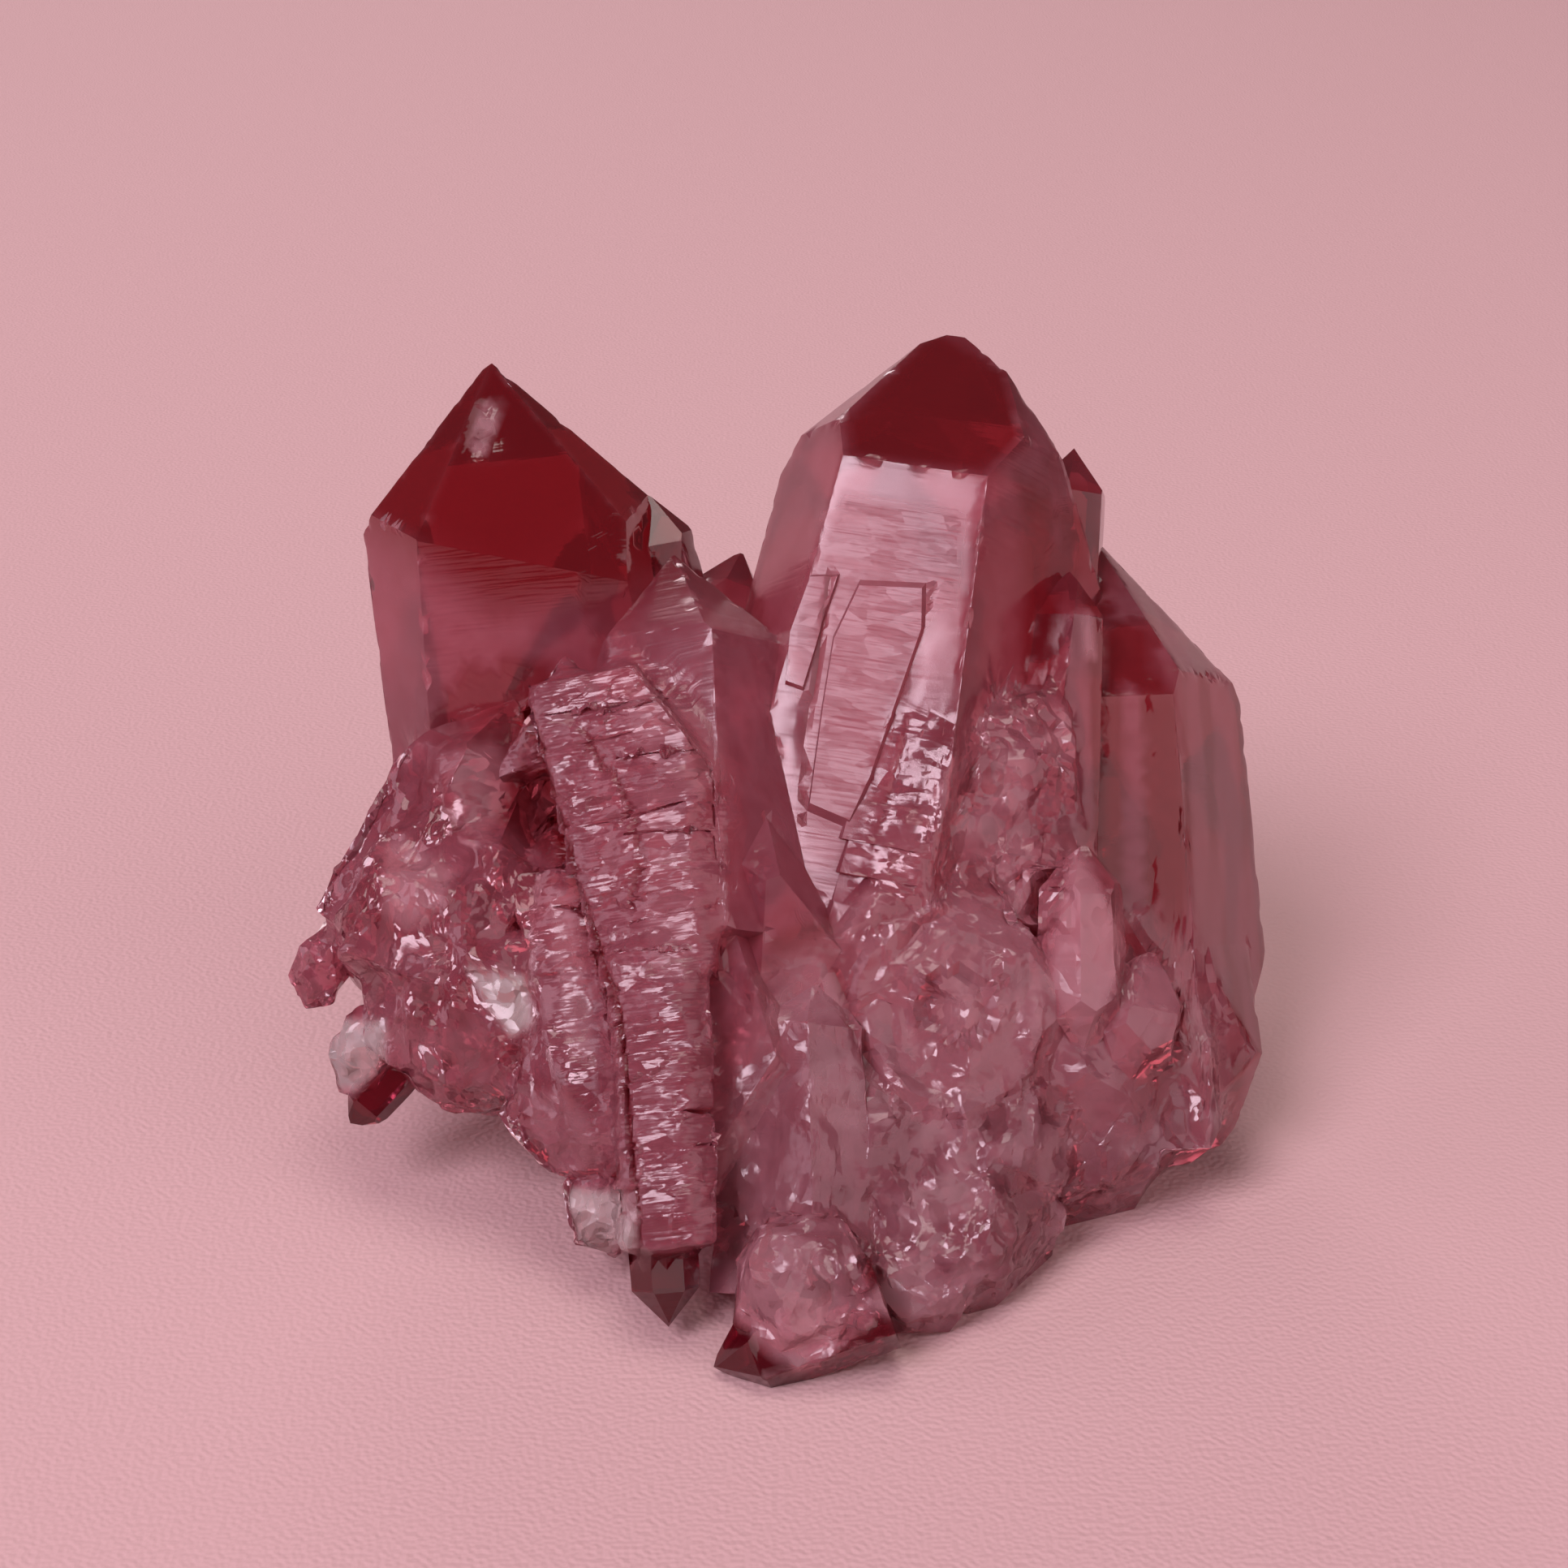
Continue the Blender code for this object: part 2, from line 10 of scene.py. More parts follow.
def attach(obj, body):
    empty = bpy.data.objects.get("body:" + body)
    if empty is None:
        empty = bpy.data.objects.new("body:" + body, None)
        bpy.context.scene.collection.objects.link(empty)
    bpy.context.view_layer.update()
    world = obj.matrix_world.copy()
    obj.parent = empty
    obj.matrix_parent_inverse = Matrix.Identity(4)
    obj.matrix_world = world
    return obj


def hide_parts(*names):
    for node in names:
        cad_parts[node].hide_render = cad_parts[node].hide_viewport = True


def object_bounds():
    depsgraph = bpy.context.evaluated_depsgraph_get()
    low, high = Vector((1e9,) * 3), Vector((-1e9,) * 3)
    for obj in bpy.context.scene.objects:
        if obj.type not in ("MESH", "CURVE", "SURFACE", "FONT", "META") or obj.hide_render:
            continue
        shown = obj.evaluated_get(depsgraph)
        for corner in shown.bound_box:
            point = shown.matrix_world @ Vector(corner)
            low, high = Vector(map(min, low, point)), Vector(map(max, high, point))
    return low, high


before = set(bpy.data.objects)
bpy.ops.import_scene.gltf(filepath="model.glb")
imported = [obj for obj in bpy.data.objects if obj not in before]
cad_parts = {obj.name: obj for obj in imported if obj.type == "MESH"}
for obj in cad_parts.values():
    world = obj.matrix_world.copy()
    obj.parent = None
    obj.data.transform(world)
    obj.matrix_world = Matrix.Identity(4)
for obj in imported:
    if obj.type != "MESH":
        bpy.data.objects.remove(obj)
cad_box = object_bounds()


# --- The quartz cluster ------------------------------------------------------------------
# One cluster of quartz crystals that grew together on rock: tall points at the back,
# stepped blades and broken lumps in front, and a flat cut where it came off its rock.
# It is red-stained quartz, clear in the points and milky where it is broken.

# It is worked in the frame it grew in, in millimetres: x right, y back, z up.
MM = 0.001
LEAN = math.radians(25.0)       # the cluster lies back by this much on its cut
LIFT = 21.0                     # height of the growth frame's centre over the cut
SHIFT = (0.173, -0.525)
SIGHT = 150.0                   # from the front plan to the eye that draws it


def grown_from_stood(spots):
    x = spots[:, 0] / MM + SHIFT[0]
    y = spots[:, 1] / MM + SHIFT[1]
    z = spots[:, 2] / MM - LIFT
    return np.stack([x,
                     y * math.cos(LEAN) - z * math.sin(LEAN),
                     y * math.sin(LEAN) + z * math.cos(LEAN)], 1)


def stood_from_grown(spots):
    x, y, z = spots.T
    return np.stack([x - SHIFT[0],
                     y * math.cos(LEAN) + z * math.sin(LEAN) - SHIFT[1],
                     -y * math.sin(LEAN) + z * math.cos(LEAN) + LIFT], 1) * MM


def front_plan(spots):
    """Across and up on the plane that the front view is drawn on."""
    scale = SIGHT / (SIGHT + spots[:, 1])
    return np.stack([spots[:, 0] * scale, spots[:, 2] * scale], 1)


# The crystals: tip, lean to the right and to the back in degrees, half width, length.
# The last six are three frosted crystals in front and three small dark ones below.
CRYSTALS = (
    ((8.8, 6.0, 24.5), (10.9, 7.7), 7.0, 34.0),
    ((-15.7, 4.0, 22.5), (-5.2, -15.3), 6.4, 32.0),
    ((-5.8, 3.0, 12.1), (-6.1, 17.8), 4.6, 22.0),
    ((16.7, 9.0, 13.5), (-4.1, 3.8), 6.3, 33.0),
    ((15.4, 8.0, 18.6), (6.0, 2.0), 2.3, 22.0),
    ((-7.4, 8.0, 15.8), (-10.0, -8.0), 2.2, 26.0),
    ((-2.3, 10.0, 12.8), (16.0, 5.0), 1.9, 14.0),
    ((18.3, 4.5, 8.4), (-7.0, 3.0), 1.8, 20.0),
    ((15.1, 2.5, 11.4), (6.0, 6.0), 2.0, 16.0),
    ((6.6, 16.0, 18.7), (4.0, 12.0), 5.0, 27.0),
    ((-12.3, 17.0, 12.3), (-10.0, 8.0), 4.6, 24.0),
    ((17.5, 18.0, 3.1), (14.0, 14.0), 4.0, 18.0),
    ((-1.7, 18.0, 4.9), (-2.0, 20.0), 3.4, 18.0),
    ((-18.6, 15.0, -5.2), (-34.0, 16.0), 2.6, 12.0),
    ((7.2, 19.0, -2.1), (8.0, 30.0), 2.4, 12.0),
    ((-9.7, 19.0, -4.4), (-16.0, 28.0), 2.1, 11.0),
    ((-13.9, 3.0, 4.6), (27.0, 8.0), 3.2, 15.0),
    ((-13.6, 0.6, -0.8), (24.0, 14.0), 2.6, 11.0),
    ((1.2, -4.5, -8.3), (3.0, 10.0), 3.0, 17.0),
    ((14.8, -3.0, -2.8), (0.0, 4.0), 2.0, 11.0),
    ((18.6, -2.0, -8.0), (12.0, 4.0), 2.4, 8.0),
    ((-3.6, -11.0, -27.8), (250.0, 0.0), 1.8, 9.0),
    ((-5.6, -9.0, -26.3), (176.0, -4.0), 1.4, 8.0),
    ((-22.6, 1.0, -17.8), (222.0, 0.0), 1.05, 9.0),
)
SMALL_DARK = len(CRYSTALS) - 3
FROSTED = len(CRYSTALS) - 6


def long_axis(lean):
    right, back = (math.radians(angle) for angle in lean)
    return np.array((math.sin(right) * math.cos(back),
                     math.sin(back),
                     math.cos(right) * math.cos(back)))


def nearest_crystal(spots):
    """How many half widths out each spot is, its depth below the tip, the axis, which one."""
    best = np.full(len(spots), 1e9)
    depth = np.zeros(len(spots))
    owner = np.zeros(len(spots), int)
    axis_of = np.zeros((len(spots), 3))
    for index, (tip, lean, half, length) in enumerate(CRYSTALS):
        axis = long_axis(lean)
        away = spots - np.array(tip)
        down = -away @ axis
        out = np.linalg.norm(away + down[:, None] * axis, axis=1) / half
        out = out + np.maximum(0.0, down - length) / half + np.maximum(0.0, -down) / half
        closer = out < best
        best[closer] = out[closer]
        depth[closer] = down[closer]
        axis_of[closer] = axis
        owner[closer] = index
    return best, depth, axis_of, owner


def ease(value, low, high):
    share = np.clip((value - low) / (high - low), 0.0, 1.0)
    return share * share * (3.0 - 2.0 * share)


def line_distance(plan, points):
    nearest = np.full(len(plan), 1e9)
    for start, end in zip(points[:-1], points[1:]):
        a, b = np.array(start), np.array(end)
        along = np.clip(((plan - a) @ (b - a)) / max(1e-9, (b - a) @ (b - a)), 0.0, 1.0)
        gap = np.linalg.norm(plan - a - along[:, None] * (b - a), axis=1)
        nearest = np.minimum(nearest, gap)
    return nearest


def patch(plan, outline, soft=0.6):
    """One inside an outline on the front plan, fading out over a soft edge."""
    closed = list(outline) + [outline[0]]
    inside = np.zeros(len(plan), bool)
    x, y = plan.T
    for (ax, ay), (bx, by) in zip(closed[:-1], closed[1:]):
        if ay == by:
            continue
        crosses = (ay > y) != (by > y)
        inside ^= crosses & (x < ax + (y - ay) / (by - ay) * (bx - ax))
    gap = line_distance(plan, closed)
    return ease(np.where(inside, gap, -gap), -soft, soft)


# Ground of each kind, as outlines on the front plan: the stepped blade, the scales beside
# it, the low steps and the thin plates on the right point, broken ground, and a scar.
LADDERS = (
    (-13.6, 6.5), (-11.1, 7.9), (-7.3, 6.7), (-4.8, 4.8), (-3.0, 0.2), (-2.5, -1.4),
    (-3.4, -8.9), (-3.0, -23.9), (-7.5, -23.9), (-8.2, -19.8), (-10.2, -19.8),
    (-11.5, -15.2), (-12.8, -8.9), (-12.4, -4.8), (-13.6, 0.7))
SLAB_SCALES = ((-18.2, 1.5), (-13.6, 4.4), (-13.2, 1.5), (-14.4, -2.7), (-16.3, -2.7))
LOW_STEPS = ((5.4, 4.2), (8.8, 3.6), (8.6, -1.4), (7.2, -6.4), (3.3, -7.2), (3.1, -3.9))
PLATES = (
    (3.0, 14.8), (9.4, 14.0), (8.9, 9.0), (7.6, 8.9), (7.5, 8.5), (6.1, 4.8), (5.5, 1.4),
    (3.3, -3.0), (0.9, -2.0), (1.2, 4.0), (0.2, 7.9), (1.0, 10.5))
BROKEN_LEFT = (
    (-20.0, 3.0), (-15.5, -1.5), (-12.0, -4.5), (-10.5, -9.0), (-9.5, -15.0),
    (-8.0, -22.0), (-12.0, -26.0), (-22.0, -20.0), (-27.0, -10.0), (-23.0, -3.0))
BROKEN_RIGHT = (
    (-3.5, -24.0), (-1.9, -10.0), (2.5, -7.5), (8.0, 0.5), (11.0, 5.5), (14.5, 4.0),
    (15.5, -5.0), (21.0, -8.0), (23.0, -17.0), (14.0, -28.0), (2.0, -31.0))
SCAR = (
    (-15.6, 19.5), (-14.7, 19.5), (-14.8, 18.2), (-15.3, 18.0), (-15.3, 17.2),
    (-16.1, 17.0), (-16.0, 18.2))

# Longest edge of the mesh on each, short where there is fine relief.
FLAT_EDGE = 1.4
FINER_WHERE_BROKEN = 0.6
EDGES = (
    (LADDERS, 0.36), (SLAB_SCALES, 0.4), (LOW_STEPS, 0.4), (PLATES, 0.5),
    (BROKEN_LEFT, 0.47), (BROKEN_RIGHT, 0.52), (SCAR, 0.25))
RIM_EDGE = 0.42


def fine_length(spots):
    plan = front_plan(spots)
    front = 1.0 - ease(spots[:, 1], -2.0, 4.0)
    out = nearest_crystal(spots)[0]
    broken = ease(out, 1.1, 1.3)
    wanted = FLAT_EDGE - FINER_WHERE_BROKEN * broken
    for outline, length in EDGES:
        here = patch(plan, outline, soft=0.3) * (1.0 if outline in (PLATES, SCAR) else front)
        wanted = np.minimum(wanted, length + (1 - here) * 1.0)
    wide = wanted > 0.45
    near_rim = RIM_EDGE + 0.7 * rim_distance(spots[wide])
    wanted[wide] = np.minimum(wanted[wide], near_rim)
    return wanted


def split_long_edges(body, longest, rounds=9):
    for _ in range(rounds):
        ends = np.array([edge.verts[0].co[:] + edge.verts[1].co[:] for edge in body.edges])
        length = np.linalg.norm(ends[:, :3] - ends[:, 3:], axis=1) / MM
        middle = grown_from_stood((ends[:, :3] + ends[:, 3:]) / 2)
        over = np.flatnonzero(length > longest(middle))
        if not len(over):
            return
        edges = body.edges[:]
        bmesh.ops.subdivide_edges(body, edges=[edges[i] for i in over], cuts=1)
        wide = [face for face in body.faces if len(face.verts) > 3]
        bmesh.ops.triangulate(body, faces=wide)


def mark_flats(body):
    """Write on each face the area of the flat that it is part of, in square millimetres."""
    layer = body.faces.layers.float.new("flat")
    waiting = set(body.faces)
    while waiting:
        seed = waiting.pop()
        group, rim = [seed], [seed]
        while rim:
            face = rim.pop()
            for edge in face.edges:
                for near in edge.link_faces:
                    if near in waiting and near.normal.dot(seed.normal) > 0.9998:
                        waiting.remove(near)
                        group.append(near)
                        rim.append(near)
        area = sum(face.calc_area() for face in group) / MM ** 2
        for face in group:
            face[layer] = area


def sample_rims(body, spacing=0.25, broadest_chip=6.0):
    """Points along the sharp edges between two broad flats, for measuring how near one is."""
    layer = body.faces.layers.float["flat"]
    points = []
    for edge in body.edges:
        one, two = edge.link_faces
        if min(one[layer], two[layer]) < broadest_chip or one.normal.dot(two.normal) > 0.95:
            continue
        start, end = (vertex.co for vertex in edge.verts)
        steps = max(1, int((end - start).length / MM / spacing))
        points += [start.lerp(end, step / steps) for step in range(steps + 1)]
    tree = KDTree(len(points))
    for index, point in enumerate(points):
        tree.insert(point, index)
    tree.balance()
    return tree


def rim_distance(spots):
    return np.array([rims.find(spot)[2] for spot in stood_from_grown(spots)]) / MM


# The mesh starts as the solid itself, cut finer.
body = bmesh.new()
body.from_mesh(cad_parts["quartz_cluster"].data)
bmesh.ops.remove_doubles(body, verts=body.verts, dist=1e-7)
body.normal_update()
mark_flats(body)
rims = sample_rims(body)
split_long_edges(body, fine_length)
mesh = bpy.data.meshes.new("grown_quartz")
body.to_mesh(mesh)
body.free()

flat_area = np.array([value.value for value in mesh.attributes["flat"].data])
mesh.attributes.remove(mesh.attributes["flat"])
links = np.array([edge.vertices[:] for edge in mesh.edges])
triangles = np.array([face.vertices[:] for face in mesh.polygons])
stood = np.array([vertex.co[:] for vertex in mesh.vertices])
spots = grown_from_stood(stood)


def outward(spots):
    a, b, c = (spots[triangles[:, corner]] for corner in range(3))
    facing = np.cross(b - a, c - a)
    total = np.zeros_like(spots)
    for corner in range(3):
        for axis in range(3):
            total[:, axis] += np.bincount(triangles[:, corner], facing[:, axis], len(spots))
    return total / np.maximum(1e-12, np.linalg.norm(total, axis=1))[:, None]


def neighbour_mean(values):
    count = np.bincount(links.ravel(), minlength=len(values))
    total = [np.bincount(links[:, 0], values[links[:, 1], axis], len(values))
             + np.bincount(links[:, 1], values[links[:, 0], axis], len(values))
             for axis in range(values.shape[1])]
    return np.stack([column / count for column in total], 1)


def spread(values, weight, rounds):
    """Move each value towards the mean of its neighbours."""
    for _ in range(rounds):
        values = values + (neighbour_mean(values) - values) * weight[:, None]
    return values


def fill_creases(spots, weight, rounds):
    """Raise creases towards the mean of their neighbours, and leave ridges as they are."""
    for step in range(rounds):
        if step % 4 == 0:
            way = outward(spots)
        lift = np.einsum("ij,ij->i", neighbour_mean(spots) - spots, way)
        spots = spots + way * (np.maximum(lift, 0.0) * weight)[:, None]
    return spots


def close_gaps(spots, share, reach, cell=0.2, deepest=2.0):
    """Bring narrow gaps and undercuts forward to the front of what stands round them."""
    plan = front_plan(spots)
    inside = share > 0.05
    place = np.floor((plan - plan[inside].min(0)) / cell).astype(int) + reach
    closed = np.full(place[inside].max(0) + reach + 1, 1e3)
    here = tuple(place[inside].T)
    np.minimum.at(closed, here, spots[inside, 1])
    for pick in (np.minimum, np.maximum):
        for _ in range(reach):
            around = [np.roll(closed, step, axis) for axis in (0, 1) for step in (-1, 1)]
            closed = pick.reduce([closed] + around)
    forward = np.zeros(len(spots))
    forward[inside] = np.maximum(0.0, spots[inside, 1] - closed[here])
    forward *= share * (1.0 - ease(forward, 0.6 * deepest, deepest))
    scale = (SIGHT + spots[:, 1] - forward) / (SIGHT + spots[:, 1])
    return np.stack([spots[:, 0] * scale, spots[:, 1] - forward, spots[:, 2] * scale], 1)


# Which ground each spot of the mesh is, from 0 to 1.
plan = front_plan(spots)
flat_way = outward(spots)
forward = ease(-flat_way[:, 1], -0.1, 0.35)
near = 1.0 - ease(spots[:, 1], 4.0, 8.0)
front = forward * near
out, depth, axis_of, crystal_of = nearest_crystal(spots)
BOTTOM_LUMP = ((-2.9, -22.0), (4.0, -22.0), (4.6, -27.6), (1.2, -30.4), (-2.4, -27.6))
tiny = (crystal_of >= SMALL_DARK) & (out < 1.4) & (patch(plan, BOTTOM_LUMP, 0.3) < 0.5)
frosted = (crystal_of >= FROSTED) & (crystal_of < SMALL_DARK) & (out < 1.3)
rim = rim_distance(spots)
foremost = 1.0 - ease(spots[:, 1], -2.0, 1.0)
ladders = patch(plan, LADDERS) * front * foremost
slab = patch(plan, SLAB_SCALES) * front
low_steps = patch(plan, LOW_STEPS) * front
plates = patch(plan, PLATES) * front
left = patch(plan, BROKEN_LEFT) * near
right = patch(plan, BROKEN_RIGHT) * near
widest = np.zeros(len(spots))
np.maximum.at(widest, triangles.ravel(), np.repeat(flat_area, 3))
broken = ease(-widest, -14.0, -9.0) * ease(out, 1.08, 1.3)
broken = np.maximum(broken * (1 - plates) * (1 - ladders), np.maximum(left, right))
broken = np.maximum(broken, patch(plan, SCAR, 0.2) * near) * np.where(tiny, 0.0, 1.0)
broken = np.where(frosted, np.minimum(broken, 0.4), broken)
broken = spread(broken[:, None], np.full(len(spots), 0.5), 2)[:, 0]
seat = 1.0 - ease(stood[:, 2] / MM, 0.15, 1.2)
off_seat = 1 - seat

# The solid's narrow clefts close to shallow seams: between the rungs of the blade, in the
# broken ground, at a notch on the right, and along the blade's left side.
NOTCH = ((9.8, -2.6), (14.6, -2.6), (14.8, -7.6), (10.4, -7.8))
SEAM = (
    (-13.8, 4.2), (-11.5, 4.2), (-9.5, -6.0), (-7.4, -14.0), (-6.7, -24.5), (-9.0, -24.5),
    (-9.8, -14.0), (-12.0, -5.0))
facing = near * ease(-flat_way[:, 1], -0.5, 0.1)
rungs = patch(plan, LADDERS, 0.3) * near * foremost
filled = np.maximum(left, right) * broken * (1 - ladders)
spots = close_gaps(spots, rungs * off_seat, 4, deepest=1.6)
spots = close_gaps(spots, filled * off_seat, 5, cell=0.25, deepest=2.6)
spots = close_gaps(spots, patch(plan, NOTCH, 0.5) * facing, 8, cell=0.25, deepest=8.0)
spots = close_gaps(spots, patch(plan, SEAM, 0.4) * facing * off_seat, 5, deepest=6.0)
well_broken = broken * ease(broken, 0.4, 0.7) * off_seat
spots = fill_creases(spots, 0.9 * well_broken, 40)
spots = fill_creases(spots, 0.9 * rungs * off_seat, 30)
spots = spread(spots, 0.25 * well_broken, 4)
spots = spread(spots, 0.5 * ladders * off_seat, 14)

# Relief is measured outward from there, across the cluster and along the crystals' growth.
way = outward(spots)
way = spread(way, np.full(len(way), 0.5), 4)
way /= np.linalg.norm(way, axis=1)[:, None]
BLADE_LEAN = (-6.0, 12.0)
axis_of = np.where((ladders + slab)[:, None] > 0.3, long_axis(BLADE_LEAN), axis_of)
climb = np.einsum("ij,ij->i", spots, axis_of)
across = spots[:, 0]
deep = spots[:, 1]


def chance(cell, salt):
    mixed = np.sin(cell @ np.array([12.9898, 78.233, 37.719]) + salt * 7.13) * 43758.5453
    return mixed - np.floor(mixed)


def clouds(spots, salt=0.0):
    """Smooth noise between 0 and 1, with cells one unit wide."""
    base = np.floor(spots)
    part = spots - base
    part = part * part * (3.0 - 2.0 * part)
    total = np.zeros(len(spots))
    for i in (0, 1):
        for j in (0, 1):
            for k in (0, 1):
                weight = (np.where(i, part[:, 0], 1 - part[:, 0])
                          * np.where(j, part[:, 1], 1 - part[:, 1])
                          * np.where(k, part[:, 2], 1 - part[:, 2]))
                total += weight * chance(base + np.array([i, j, k]), salt)
    return total


def billows(spots, width, salt=0.0, layers=4):
    """Clouds of a width in millimetres with finer ones over them, between 0 and 1."""
    total, weight, finer = 0.0, 0.0, 1.0
    for layer in range(layers):
        total = total + clouds(spots / width * finer + 17.3 * layer, salt + layer) / finer
        weight += 1.0 / finer
        finer *= 2.0
    return total / weight


def cells_round(spots, salt):
    """The 27 cells of one unit round each spot, with a random centre in each."""
    base = np.floor(spots)
    for i in (-1, 0, 1):
        for j in (-1, 0, 1):
            for k in (-1, 0, 1):
                cell = base + np.array([i, j, k])
                yield cell, cell + np.stack([chance(cell, salt + s) for s in (1, 2, 3)], 1)


def shards(spots, salt):
    """The cell whose random centre is nearest, and the offset from that centre."""
    first = np.full(len(spots), 1e9)
    owner = np.zeros_like(spots)
    offset = np.zeros_like(spots)
    for cell, centre in cells_round(spots, salt):
        gap = spots - centre
        far = np.linalg.norm(gap, axis=1)
        closer = far < first
        owner[closer] = cell[closer]
        offset[closer] = gap[closer]
        first = np.minimum(first, far)
    return owner, offset


def hollows(spots, salt, bowl, tip):
    """Shallow broken hollows one unit wide, each tipped its own way, that meet in ridges."""
    lowest = np.full(len(spots), 1e9)
    for cell, centre in cells_round(spots, salt):
        lean = np.stack([chance(cell, salt + s) - 0.5 for s in (4, 5, 6)], 1) * tip
        gap = spots - centre
        lowest = np.minimum(lowest, bowl * (gap ** 2).sum(1) + (lean * gap).sum(1))
    return lowest


def crease(plan, points, width):
    return np.exp(-(line_distance(plan, points) / width) ** 2)


# Growth steps: scales 1.5 mm across and 1.15 mm high, each tipped its own way, with finer
# ones 0.34 mm high over them.
warp = billows(spots, 2.0, 3.0, 3) * 2.2
scale_place = np.stack([across / 1.5 + warp * 0.8, (climb + warp * 0.9) / 1.15, deep / 2.6], 1)
owner, offset = shards(scale_place, 5.0)
rise = chance(owner, 11.0)
tilt = (chance(owner, 12.0) - 0.35) * 0.55
sway = (chance(owner, 13.0) - 0.5) * 0.5
scales = 0.30 * (rise - 0.5) - tilt * offset[:, 1] * 0.85 - sway * offset[:, 0] * 1.2
step_place = np.stack([across / 0.9 + warp, (climb + warp * 0.4) / 0.34, deep / 1.4], 1)
steps = hollows(step_place, 8.0, 0.3, 0.5)
scaly = np.clip(ladders + slab * 0.8 + low_steps * 0.6, 0, 1)

# Broken ground: shell-shaped hollows 2.6 mm across, and chips 0.85 mm across over them,
# bent by clouds of their own for each of the three directions.
BEND = 20 / 9
jitter = np.stack([billows(spots + 9.1 * s * BEND, BEND, 20.0 + s, 3) for s in range(3)], 1)
coarse_place = spots / np.array([2.6, 2.6, 3.8]) + jitter * 1.2
fine_place = spots / np.array([0.85, 0.85, 1.2]) + jitter * 3.0
scoops = hollows(coarse_place, 31.0, 0.38, 0.7)
chips = hollows(fine_place, 51.0, 0.38, 0.8)
big_scoops = hollows(coarse_place * 0.62, 35.0, 0.38, 0.7)

# How much each adds to the relief, in mm for one unit of its pattern.
SCALE_HEIGHT, STEP_DEPTH = 0.26, 0.15
HOLLOW_DEPTH, CHIP_DEPTH = 1.8, 0.55
MEAN_HOLLOW = 0.1
FACE_WAVE = 0.02                # a grown face is never quite flat
relief = scaly * (scales * SCALE_HEIGHT - steps * STEP_DEPTH)
breaks = (scoops - MEAN_HOLLOW) * HOLLOW_DEPTH + (chips - MEAN_HOLLOW) * CHIP_DEPTH
relief = relief + broken * (1 - scaly) * breaks
flat = (1 - broken) * (1 - scaly) * (1 - plates)
relief = relief + flat * FACE_WAVE * (billows(spots, 1.25, 80.0, 3) - 0.5)

# The swirl: a shallow bowl in the broken face, with curved ridges round its middle.
SWIRL = (
    (3.5, -8.1), (7.7, -6.0), (12.2, -5.6), (13.7, -9.8), (13.1, -13.9), (10.6, -16.8),
    (6.4, -17.2), (3.9, -13.5))
SWIRL_MIDDLE = (9.2, -11.4)
EYE = (
    (6.6, -11.3), (7.1, -9.6), (9.1, -8.7), (11.0, -9.8), (11.3, -11.6), (10.1, -13.2),
    (8.2, -13.2), (6.8, -12.3), (6.6, -11.3))
EYE_LIP = [(x * 0.8 + 1.8, y * 0.8 - 2.4) for x, y in EYE]
CRESCENT = (
    (13.2, -11.3), (12.7, -14.1), (11.3, -16.0), (8.8, -16.9), (6.6, -16.0), (4.8, -13.8),
    (3.8, -11.6), (3.9, -9.2), (5.4, -7.4), (8.0, -6.2))
RIDGES = ((EYE, 0.3, 0.26), (CRESCENT, 0.5, 0.4), (EYE_LIP, 0.25, -0.3))    # width, height
BOWL_RADIUS, BOWL_DEPTH = 4.6, 0.9
RIPPLE, RIPPLE_HEIGHT = 0.9, 0.05
turned = plan - np.array(SWIRL_MIDDLE)
ring = np.linalg.norm(turned * np.array([1.0, 0.85]), axis=1)
ring = ring + 1.2 * billows(spots, 2.0, 75.0, 2)
swirl = patch(plan, SWIRL, 0.8) * front
bend = np.sin(ring * 2 * math.pi / RIPPLE + 2.0 * billows(spots, 1.25, 77.0, 2))
ripple = ease(billows(spots, 20 / 7, 78.0, 2), 0.35, 0.5) * bend
relief = relief * (1 - 0.6 * swirl) - swirl * RIPPLE_HEIGHT * ripple
relief = relief + swirl * 0.5 * (big_scoops - MEAN_HOLLOW)
bowl = np.exp(-(np.linalg.norm(turned, axis=1) / BOWL_RADIUS) ** 2)
relief = relief - swirl * BOWL_DEPTH * bowl
wave = billows(spots, 5 / 3, 88.0, 3) - 0.5
wavy_plan = plan + np.stack([wave, -wave], 1)
for points, width, height in RIDGES:
    relief = relief + swirl * height * crease(wavy_plan, points, width)

# Grooves: line on the front plan, width and depth.
GROOVES = (
    (((-13.2, 3.6), (-11.0, -4.5), (-8.6, -11.8), (-8.0, -18.1), (-7.6, -24.0)), 0.2, 0.35),
    (((-10.3, 2.8), (-7.8, -1.4), (-7.3, -3.9), (-8.0, -6.5)), 0.16, 0.16),
    (((19.8, 5.7), (20.5, 1.4), (20.9, -6.4), (21.0, -12.0)), 0.16, 0.05),
    (((17.4, 7.7), (18.4, 5.0), (18.8, 2.0), (18.9, -6.0)), 0.14, 0.05),
    (((2.4, 10.8), (1.9, 7.0), (1.2, 3.0), (0.9, -2.0)), 0.14, 0.12),
    (((7.7, 10.2), (6.6, 5.4), (5.9, 1.0), (4.6, -3.2)), 0.1, 0.06),
    (((2.6, -9.8), (4.4, -14.4), (6.0, -17.2)), 0.25, 0.2),
)
# Each groove also keeps a share, larger for deeper grooves, that is painted shade in its
# crease.
groove_shade = np.zeros(len(spots))
for points, width, groove_depth in GROOVES:
    line = crease(plan, points, width) * front
    relief = relief - line * groove_depth
    groove_shade = np.maximum(groove_shade, line * min(1.0, 0.25 + groove_depth * 2))

